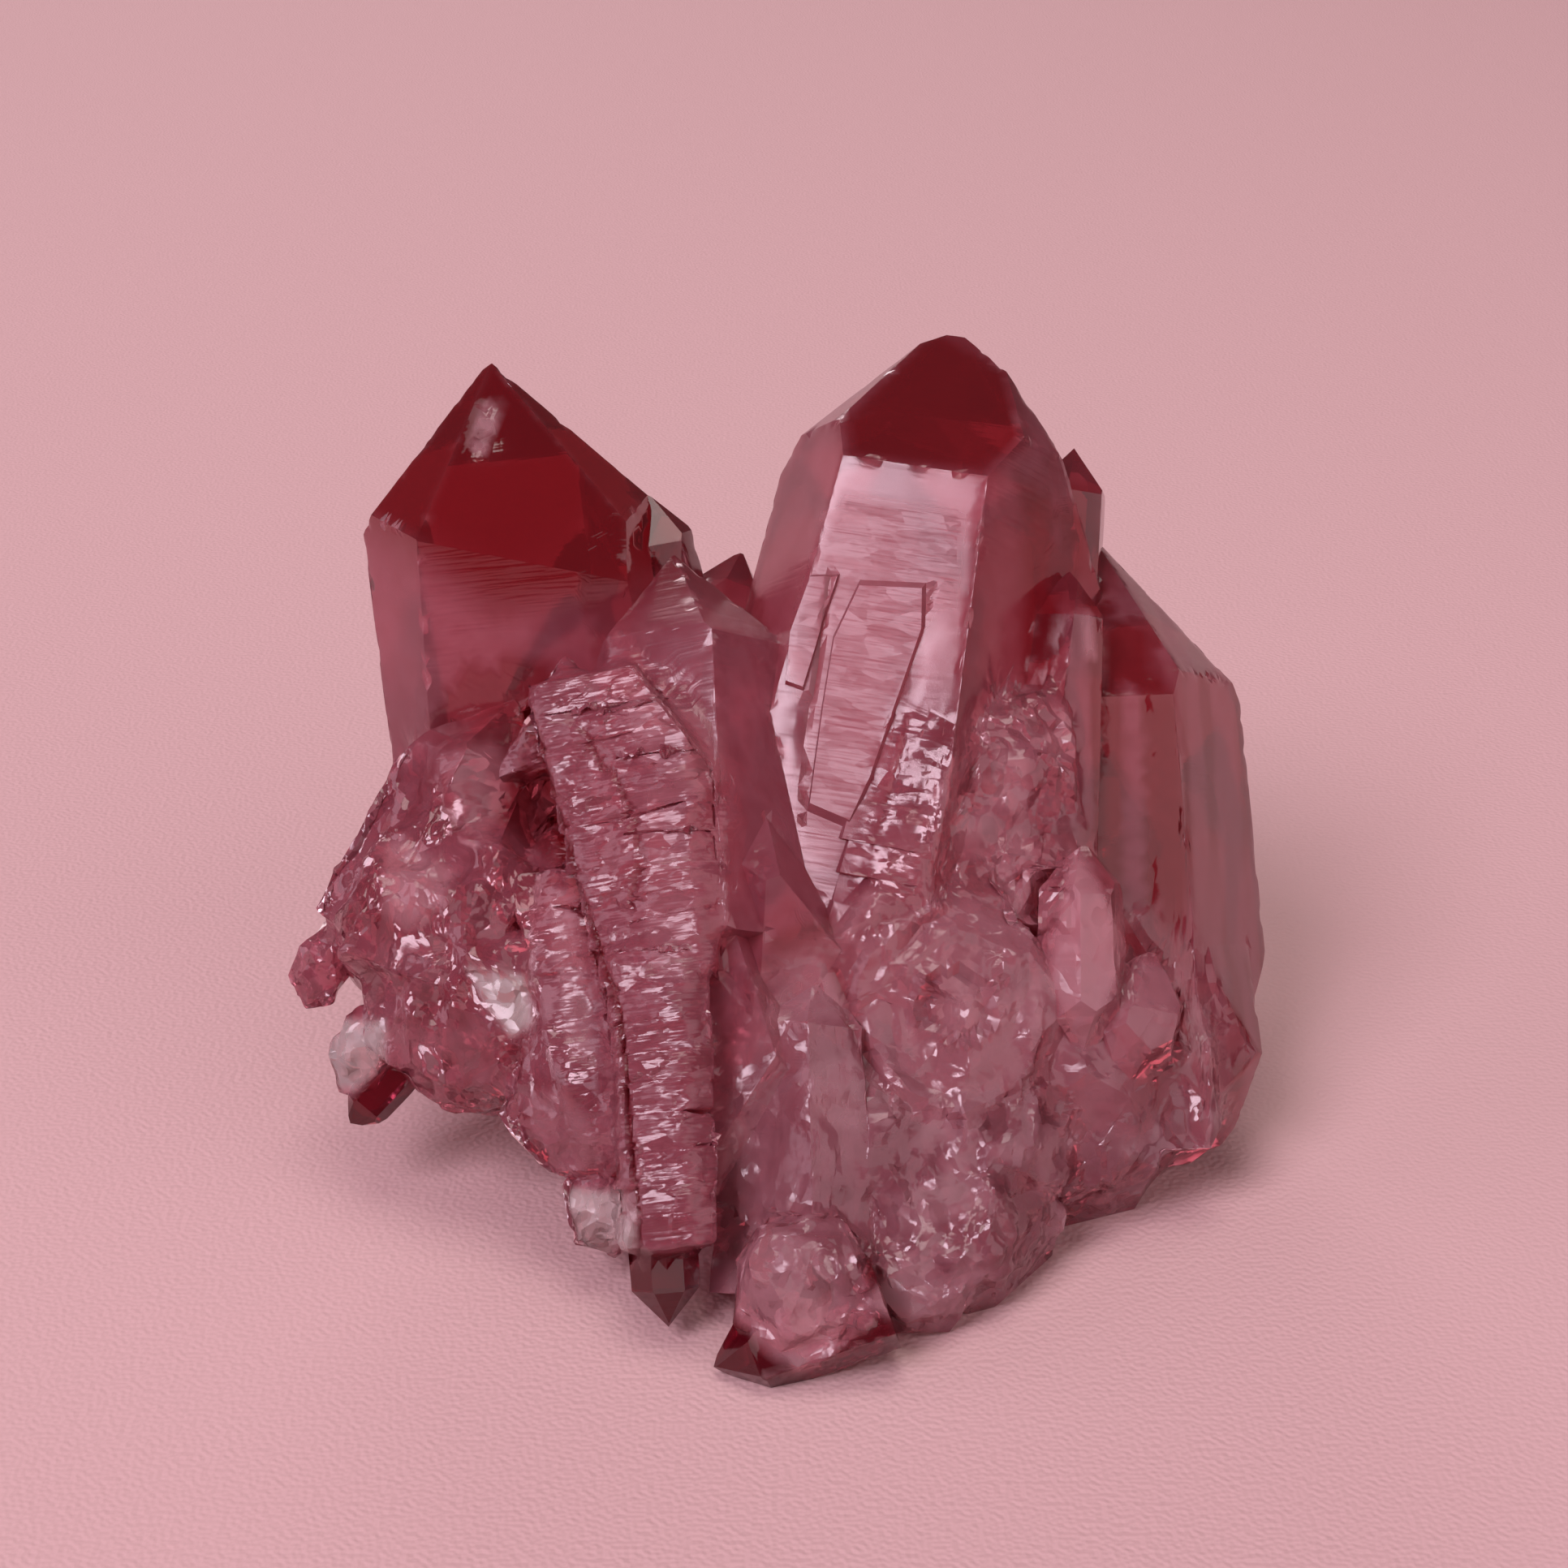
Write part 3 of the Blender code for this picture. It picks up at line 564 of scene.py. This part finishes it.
# Edges between flat faces are worn over 0.2 mm and nicked, but not the foot of the left cap.
WORN_WIDTH, WORN_DEPTH, NICK_DEPTH = 0.2, 0.02, 0.12
CAP_FOOT = ((-18.9, 12.6), (-8.1, 10.7))
cap_foot = ease(-line_distance(plan, CAP_FOOT), -0.9, -0.3) * front
worn = np.exp(-(rim / WORN_WIDTH) ** 2) * (1 - broken) * (1 - scaly)
worn = worn * (1 - ease(cap_foot, 0.0, 0.1))
nicks = ease(billows(spots, 10 / 11, 85.0, 3), 0.5, 0.75)
relief = relief - worn * (WORN_DEPTH + NICK_DEPTH * nicks)

# The relief fades out at the cut, and nothing passes the solid's own size.
spots = spots + way * (relief * off_seat)[:, None]
low, high = (np.array(corner[:]) for corner in cad_box)
stood = np.clip(stood_from_grown(spots), low, high)
mesh.vertices.foreach_set("co", stood.ravel())
mesh.update()

# Where the red stain lies: at the tips, in the caps, and in ribs on the outer crystals.
# The grooves get the same deep red as painted shade in their creases. The small dark
# crystals are deep red all through.
DEEP_LEFT = (
    (-25.0, 14.6), (-15.2, 26.0), (-4.0, 17.5), (-4.0, 11.4), (-6.3, 10.4), (-7.5, 9.6),
    (-14.8, 8.9), (-19.0, 11.8), (-21.7, 13.4))
DEEP_RIGHT = ((7.6, 23.8), (11.7, 21.4), (12.6, 17.6), (10.3, 15.7), (3.1, 16.6), (2.9, 18.8))
OUTER = (
    (12.0, 16.0), (17.0, 13.0), (26.0, 8.0), (27.0, -16.0), (19.0, -20.0), (17.5, -8.0),
    (12.0, 0.0))
RIGHT_SIDE = (
    (11.0, 14.5), (8.3, 11.0), (7.8, 4.0), (6.0, -3.0), (12.0, -3.0), (15.0, 8.0),
    (14.5, 18.0))
STAIN_DEPTH = 9.0               # the stain fades by this far below a tip
tipness = np.exp(-np.maximum(depth, 0) / STAIN_DEPTH) * (1 - broken)
mottle = billows(spots, 20 / 9, 90.0, 4)
speck = billows(spots, 10 / 17, 95.0, 3)
# The grooves' share adds painted shade in the creases to the red stain.
stain_and_groove_shade = 0.75 * ease(tipness, 0.35, 0.9) + 0.3 * broken * ease(mottle, 0.5, 0.7) + groove_shade
stain_and_groove_shade = np.clip(stain_and_groove_shade, 0, 1)
front_half = 1.0 - ease(spots[:, 1], 13.0, 15.0)
caps = np.maximum(patch(plan, DEEP_LEFT, 1.4), patch(plan, DEEP_RIGHT, 0.8))
stain_and_groove_shade = np.maximum(stain_and_groove_shade, caps * front_half)
rib_place = np.stack([across / 0.9, climb / 14.0, deep / 3.0], 1) + 5.0
ribs = billows(rib_place, 1.0, 97.0, 2)
ribbed = 0.25 + 0.7 * ease(ribs, 0.42, 0.62)
stain_and_groove_shade = np.maximum(stain_and_groove_shade, patch(plan, OUTER, 0.8) * (1 - broken) * ribbed)
stain_and_groove_shade = np.maximum(stain_and_groove_shade, patch(plan, RIGHT_SIDE, 0.5) * (1 - broken) * 0.35)
stain_and_groove_shade = np.where(tiny, 1.0, stain_and_groove_shade)
deep_red = np.where(tiny, 1.0, 0.0)

# Where the quartz is milky: broken ground, the frosted crystals, the chips, and flat patches
# of their own, each with its share of milk. The pale colour on the plates and on several
# patches is painted sheen and painted glints, put where the light's sheen falls.
WINDOW = ((-16.2, -9.5), (-13.2, -10.0), (-13.0, -12.2), (-14.0, -12.9), (-15.2, -11.4))
LOW_CHIP = ((-11.5, -20.6), (-8.2, -21.0), (-7.8, -23.9), (-10.2, -24.8))
LEFT_CHIP = ((-24.6, -12.0), (-20.7, -12.2), (-20.5, -14.3), (-23.2, -16.8), (-24.6, -14.8))
MILK_AND_SHEEN = (
    # painted sheen on the upper stepped blade, this patch and the next
    (((-8.4, 5.6), (-3.2, 2.8), (-3.0, 0.2), (-5.0, -0.6), (-7.4, 1.4)), 0.32),
    (((-7.2, 0.0), (-4.8, 0.0), (-4.4, -6.0), (-5.0, -10.2), (-7.0, -9.6)), 0.22),
    (((14.8, -3.1), (16.2, -5.2), (17.8, -8.4), (16.4, -11.8), (15.4, -13.9),
      (13.4, -10.0)), 0.9),
    (((18.2, -8.7), (20.6, -9.8), (20.2, -12.2), (18.2, -14.4), (15.8, -14.7)), 0.5),
    # painted sheen on the frosted blade, this patch and the next two
    (((1.2, -8.6), (2.4, -10.5), (4.2, -15.8), (4.5, -18.1), (1.4, -21.4), (-1.7, -22.2),
      (-1.9, -16.1), (-1.4, -12.4)), 0.3),
    (((0.7, -14.4), (3.5, -13.8), (4.1, -15.4), (4.1, -17.9), (2.2, -17.6),
      (0.8, -15.4)), 0.65),
    (((0.3, -9.6), (1.8, -8.6), (2.6, -10.4), (3.4, -12.0), (1.6, -12.2), (-0.6, -13.0),
      (-1.2, -12.0)), 0.6),
    # painted sheen on the swirl's eye
    (((8.0, -10.6), (10.2, -10.2), (10.9, -12.2), (9.4, -13.4), (7.9, -12.6)), 0.65),
    (((-3.5, -26.4), (-1.5, -22.2), (1.8, -23.5), (3.1, -26.4), (3.0, -28.8),
      (0.7, -30.2)), 0.75),
    (((3.9, -26.8), (6.6, -23.7), (9.6, -26.6), (7.7, -28.1)), 0.75),
    # painted highlight on the window facet
    (WINDOW, 0.8),
    (LOW_CHIP, 0.8),
    (LEFT_CHIP, 1.0),
    (SWIRL, 0.42),
    # painted glint on a sliver of the right point, and a painted highlight line along a ledge
    (((0.1, 7.2), (1.1, 6.8), (0.9, 4.0)), 1.0),
    (((1.4, 11.9), (4.8, 11.2), (4.8, 10.95), (1.4, 11.6)), 0.8),
    # painted highlight on the bright patch of the lower left mass
    (((-20.6, -3.2), (-19.6, -2.8), (-16.9, -4.5), (-17.5, -6.2), (-19.2, -7.6),
      (-20.4, -6.6)), 0.75),
    (((-17.8, 1.4), (-15.0, 2.2), (-13.9, 0.6), (-15.4, -2.9), (-16.4, -2.0)), 0.35),
    # painted glints on the band left of the blade
    (((-12.2, -5.5), (-10.9, -5.5), (-9.8, -12.0), (-9.6, -14.4), (-11.0, -14.0)), 0.55),
    (((-13.8, -15.9), (-11.6, -15.7), (-9.4, -18.0), (-10.0, -20.1), (-12.0, -20.2)), 0.3),
    # painted glint on the right crystal, and a painted highlight line on the right point
    (((15.3, 8.6), (15.7, 8.7), (15.9, 6.5), (15.5, 6.6)), 1.0),
    (((1.8, 14.0), (4.3, 13.8), (4.3, 13.3), (1.8, 13.5)), 0.8),
)
milky_right = (0.2 + 0.45 * ease(mottle, 0.54, 0.4)) * right
milk_and_sheen = broken * (milky_right + 0.12 * ease(mottle, 0.5, 0.38) * (1 - right))
milk_and_sheen = milk_and_sheen + swirl * 0.15 * ripple + 0.12 * np.where(frosted, 1.0, 0.0)
# Painted sheen on the plates.
milk_and_sheen = milk_and_sheen + 0.2 * plates * (1 - low_steps)
# Each patch also takes most of the stain away beneath it, so that painted sheen shows pale.
for outline, share in MILK_AND_SHEEN:
    here = patch(plan, outline, 0.4) * front
    milk_and_sheen = np.maximum(milk_and_sheen, here * share)
    stain_and_groove_shade = stain_and_groove_shade * (1 - here * 0.8)
# The scar on the left cap is milky where it broke, with painted glints over its chips.
scar_milk_and_glint = patch(plan, SCAR, 0.15) * near * (0.5 + 0.4 * ease(speck, 0.4, 0.6))
milk_and_sheen = np.maximum(milk_and_sheen, scar_milk_and_glint)
# Pale worn and nicked edges: partly wear, partly a painted highlight line along each edge.
milk_and_sheen = np.maximum(milk_and_sheen, worn * (0.04 + 0.4 * nicks) * off_seat)
# Pale colour on the clear chips, and a painted highlight on the window facet.
pale_chip_and_glint = np.zeros(len(spots))
for outline in (WINDOW, LOW_CHIP, LEFT_CHIP):
    here = patch(plan, outline, 0.3) * front * np.where(tiny, 0.0, 1.0)
    pale_chip_and_glint = np.maximum(pale_chip_and_glint, here)

# How matt the surface is, how much each small chip is tipped, and how lined it is.
frost = 0.45 * milk_and_sheen + 0.12 * broken * ease(speck, 0.4, 0.6) + 0.25 * plates + 0.1 * ladders
frost = np.clip(frost + 0.28 * (1 - broken) * (1 - ease(stain_and_groove_shade, 0.3, 0.9)), 0, 1)
grown = np.stack([across, climb, deep], 1)
STEP_CHIP = (5 / 3, 0.625, 5 / 3)       # across, along the growth and back, in mm
scaly = np.maximum(scaly, plates * 0.2)
on_scales = scaly > 0.15
chip_place = np.where(on_scales[:, None],
                      grown / np.array(STEP_CHIP) + warp[:, None] * 0.4,
                      coarse_place * 1.9 + 40.0)
chip_depth = np.where(on_scales, 0.42 * scaly, 0.75 * broken * (1 - 0.6 * swirl))
lined = 0.1 + 0.5 * np.clip(ladders + 0.5 * plates, 0, 1)
for name, values in (("grown", grown), ("chip_place", chip_place)):
    layer = mesh.attributes.new(name, "FLOAT_VECTOR", "POINT")
    layer.data.foreach_set("vector", values.astype(np.float32).ravel())
for name, values in (("stain_and_groove_shade", stain_and_groove_shade), ("deep_red", deep_red), ("milk_and_sheen", milk_and_sheen),
                     ("pale_chip_and_glint", pale_chip_and_glint), ("frost", frost),
                     ("chip_depth", chip_depth), ("lined", lined)):
    layer = mesh.attributes.new(name, "FLOAT", "POINT")
    layer.data.foreach_set("value", values.astype(np.float32))


def crisp_edges(mesh, broken):
    """Keep the edges of flat faces sharp, and let broken surfaces run smooth."""
    body = bmesh.new()
    body.from_mesh(mesh)
    body.verts.ensure_lookup_table()
    body.normal_update()
    for face in body.faces:
        face.smooth = True
    for edge in body.edges:
        one, two = (broken[vertex.index] for vertex in edge.verts)
        limit = math.radians(10.0 if max(one, two) < 0.3 else 17.0)
        edge.smooth = edge.calc_face_angle(0.0) < limit
    body.to_mesh(mesh)
    body.free()


crisp_edges(mesh, np.maximum(broken, scaly))
quartz = bpy.data.objects.new("grown_quartz", mesh)
bpy.context.scene.collection.objects.link(quartz)
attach(quartz, "root")
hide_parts("quartz_cluster")


def linear(code):
    parts = [int(code[i:i + 2], 16) / 255 for i in (1, 3, 5)]
    return tuple(c / 12.92 if c < 0.04045 else ((c + 0.055) / 1.055) ** 2.4
                 for c in parts) + (1.0,)


def add(tree, kind, settings=None, **sources):
    """Add a node, set its properties and sockets, and link sources by name or as i0, i1."""
    node = tree.nodes.new(kind)
    for key, value in (settings or {}).items():
        if isinstance(key, str) and hasattr(node, key):
            setattr(node, key, value)
        else:
            node.inputs[key].default_value = value
    for key, source in sources.items():
        socket = int(key[1:]) if key[1:].isdigit() else key
        tree.links.new(source, node.inputs[socket])
    return node


# Natural quartz stained red by iron: glassy where it grew and milky where it broke. The
# eye gets a deep red at the tips, pink haze below and small sharp glints on the breaks.
HAZY_RED, HAZY_PINK = "#aa4c5c", "#cc7c8e"
HAZE_WIDTH = 10 / 9             # clouds of haze, in mm
GLASSY, MATT = 0.08, 0.5        # roughness of a grown face and of a frosted one
red_quartz = bpy.data.materials.new("red_stained_quartz")
red_quartz.use_nodes = True
tree = red_quartz.node_tree
shader = tree.nodes["Principled BSDF"]
masks = {name: add(tree, "ShaderNodeAttribute", {"attribute_name": name}).outputs["Fac"]
         for name in ("stain_and_groove_shade", "deep_red", "milk_and_sheen", "pale_chip_and_glint", "frost", "chip_depth", "lined")}
grown_place = add(tree, "ShaderNodeAttribute", {"attribute_name": "grown"}).outputs["Vector"]
haze = add(tree, "ShaderNodeTexNoise",
           {"Scale": 1 / HAZE_WIDTH, "Detail": 2.0, "Roughness": 0.65}, Vector=grown_place)
hue = add(tree, "ShaderNodeMix",
          {"data_type": "RGBA", 6: linear(HAZY_RED), 7: linear(HAZY_PINK)},
          i0=haze.outputs["Fac"])
# The stain's red also paints shade in the grooves, and the milk and pale chip colours also
# paint sheen and glints.
for name, colour in (("stain_and_groove_shade", "#8e1a24"), ("deep_red", "#720c1e"), ("milk_and_sheen", "#f4b0bc"),
                     ("pale_chip_and_glint", "#f8e8e6")):
    hue = add(tree, "ShaderNodeMix", {"data_type": "RGBA", 7: linear(colour)},
              i0=masks[name], i6=hue.outputs[2])
tree.links.new(hue.outputs[2], shader.inputs["Base Color"])
rough = add(tree, "ShaderNodeMapRange", {"To Min": GLASSY, "To Max": MATT},
            Value=masks["frost"])
tree.links.new(rough.outputs["Result"], shader.inputs["Roughness"])
shader.inputs["IOR"].default_value = 1.544
shader.inputs["Transmission Weight"].default_value = 0.68
SOAK = 55.0                     # 12 mm of stone lets 0.8 of the red and 0.6 of the rest pass
soak = add(tree, "ShaderNodeVolumeAbsorption", {"Color": linear("#d88080"), "Density": SOAK})
tree.links.new(soak.outputs["Volume"], tree.nodes["Material Output"].inputs["Volume"])

# Small flat chips, about 1.5 mm across with ones of 0.6 mm over them: each tips the surface
# its own way.
tipped = add(tree, "ShaderNodeNewGeometry").outputs["Normal"]
chip_place = add(tree, "ShaderNodeAttribute", {"attribute_name": "chip_place"})
for scale, share in ((1.0, 1.0), (2.6, 0.5)):
    cells = add(tree, "ShaderNodeTexVoronoi", {"Scale": scale},
                Vector=chip_place.outputs["Vector"])
    tip = add(tree, "ShaderNodeVectorMath", {"operation": "SUBTRACT", 1: (0.5, 0.5, 0.5)},
              i0=cells.outputs["Color"])
    amount = add(tree, "ShaderNodeMath", {"operation": "MULTIPLY", 1: share},
                 i0=masks["chip_depth"])
    tip = add(tree, "ShaderNodeVectorMath", {"operation": "SCALE"}, i0=tip.outputs[0],
              Scale=amount.outputs[0])
    tipped = add(tree, "ShaderNodeVectorMath", {"operation": "ADD"}, i0=tipped,
                 i1=tip.outputs[0]).outputs[0]
tipped = add(tree, "ShaderNodeVectorMath", {"operation": "NORMALIZE"}, i0=tipped).outputs[0]

# Fine lines across the growth, 0.12 mm apart on such faces and drawn 0.25 mm apart, as
# closer ones would not show.
LINE_PITCH = 0.25
LINE_LENGTH = 10 / 3
line_scale = (1 / LINE_LENGTH, 1 / LINE_PITCH, 1 / LINE_LENGTH)
lines = add(tree, "ShaderNodeVectorMath", {"operation": "MULTIPLY", 1: line_scale},
            i0=grown_place)
combed = add(tree, "ShaderNodeTexNoise", {"Scale": 1.0, "Detail": 1.0}, Vector=lines.outputs[0])
comb = add(tree, "ShaderNodeBump", {"Distance": 0.1 * MM}, Height=combed.outputs["Fac"],
           Normal=tipped, Strength=masks["lined"])
tree.links.new(comb.outputs["Normal"], shader.inputs["Normal"])
mesh.materials.append(red_quartz)


# --- The floor ---------------------------------------------------------------------------
# A plain pale pink sheet that the cluster stands on, 4 m across. It is matt paper with a
# fine tooth, and only the stage for the piece.

FLOOR_HALF = 2.0
TOOTH = MM / 3.4                # real tooth is about 0.1 mm, drawn 0.29 mm so that it shows
floor_mesh = bpy.data.meshes.new("floor")
sheet = bmesh.new()
bmesh.ops.create_grid(sheet, x_segments=1, y_segments=1, size=FLOOR_HALF)
sheet.to_mesh(floor_mesh)
sheet.free()
floor = bpy.data.objects.new("floor", floor_mesh)
bpy.context.scene.collection.objects.link(floor)
paper = bpy.data.materials.new("pink_paper")
paper.use_nodes = True
tree = paper.node_tree
shader = tree.nodes["Principled BSDF"]
shader.inputs["Base Color"].default_value = linear("#d0aeae")
shader.inputs["Roughness"].default_value = 0.9
place = add(tree, "ShaderNodeTexCoord")
grain = add(tree, "ShaderNodeTexNoise", {"Scale": 1 / TOOTH, "Detail": 0.0},
            Vector=place.outputs["Object"])
tooth = add(tree, "ShaderNodeBump", {"Strength": 0.45, "Distance": 0.15 * MM},
            Height=grain.outputs["Fac"])
tree.links.new(tooth.outputs["Normal"], shader.inputs["Normal"])
floor_mesh.materials.append(paper)


# --- The light ---------------------------------------------------------------------------
# Soft round studio lamps: a key at the upper left, one overhead, a wide dim fill at the
# right, and weak ones at the side and the back, in a dim pink room.

AIM_HEIGHT = 0.02


def soft_light(name, azimuth, elevation, distance, size, power, colour):
    """A round lamp at angles in degrees from the front, facing the cluster."""
    lamp = bpy.data.lights.new(name, "AREA")
    lamp.shape = "DISK"
    lamp.size = size
    lamp.energy = power
    lamp.color = linear(colour)[:3]
    turn, rise = math.radians(azimuth), math.radians(elevation)
    way = Vector((math.sin(turn) * math.cos(rise),
                  -math.cos(turn) * math.cos(rise),
                  math.sin(rise)))
    holder = bpy.data.objects.new(name, lamp)
    holder.location = way * distance + Vector((0.0, 0.0, AIM_HEIGHT))
    holder.rotation_euler = way.to_track_quat("Z", "Y").to_euler()
    bpy.context.scene.collection.objects.link(holder)


soft_light("key", -37.0, 45.0, 1.5, 0.7, 15.0, "#ffe8f8")
soft_light("top", 0.0, 90.0, 1.6, 0.9, 7.0, "#fff6f2")
soft_light("fill", 45.0, 24.0, 1.5, 2.0, 10.0, "#fff0f4")
soft_light("side", -82.0, 16.0, 1.2, 0.9, 3.5, "#ffe6f8")
soft_light("back", -170.0, 18.0, 1.5, 0.7, 5.0, "#fff0f4")
world = bpy.data.worlds.new("room")
world.use_nodes = True
room = world.node_tree.nodes["Background"]
room.inputs["Color"].default_value = linear("#d89aa2")
room.inputs["Strength"].default_value = 0.2
bpy.context.scene.world = world
bpy.context.scene.view_settings.view_transform = "Standard"


# --- The camera --------------------------------------------------------------------------
# It stands where the front plan is drawn from, and looks down on the middle of the
# cluster from close by.

eye = bpy.data.cameras.new("camera")
eye.lens = 67.1
eye.sensor_width = 36.0
eye.clip_start = 5 * MM
camera = bpy.data.objects.new("camera", eye)
stand, middle = stood_from_grown(np.array([[0.0, -SIGHT, 0.0], [0.0, 0.0, 0.0]]))
camera.location = stand
aim = Vector(middle - stand)
camera.rotation_euler = aim.to_track_quat("-Z", "Y").to_euler()
bpy.context.scene.collection.objects.link(camera)
bpy.context.scene.camera = camera
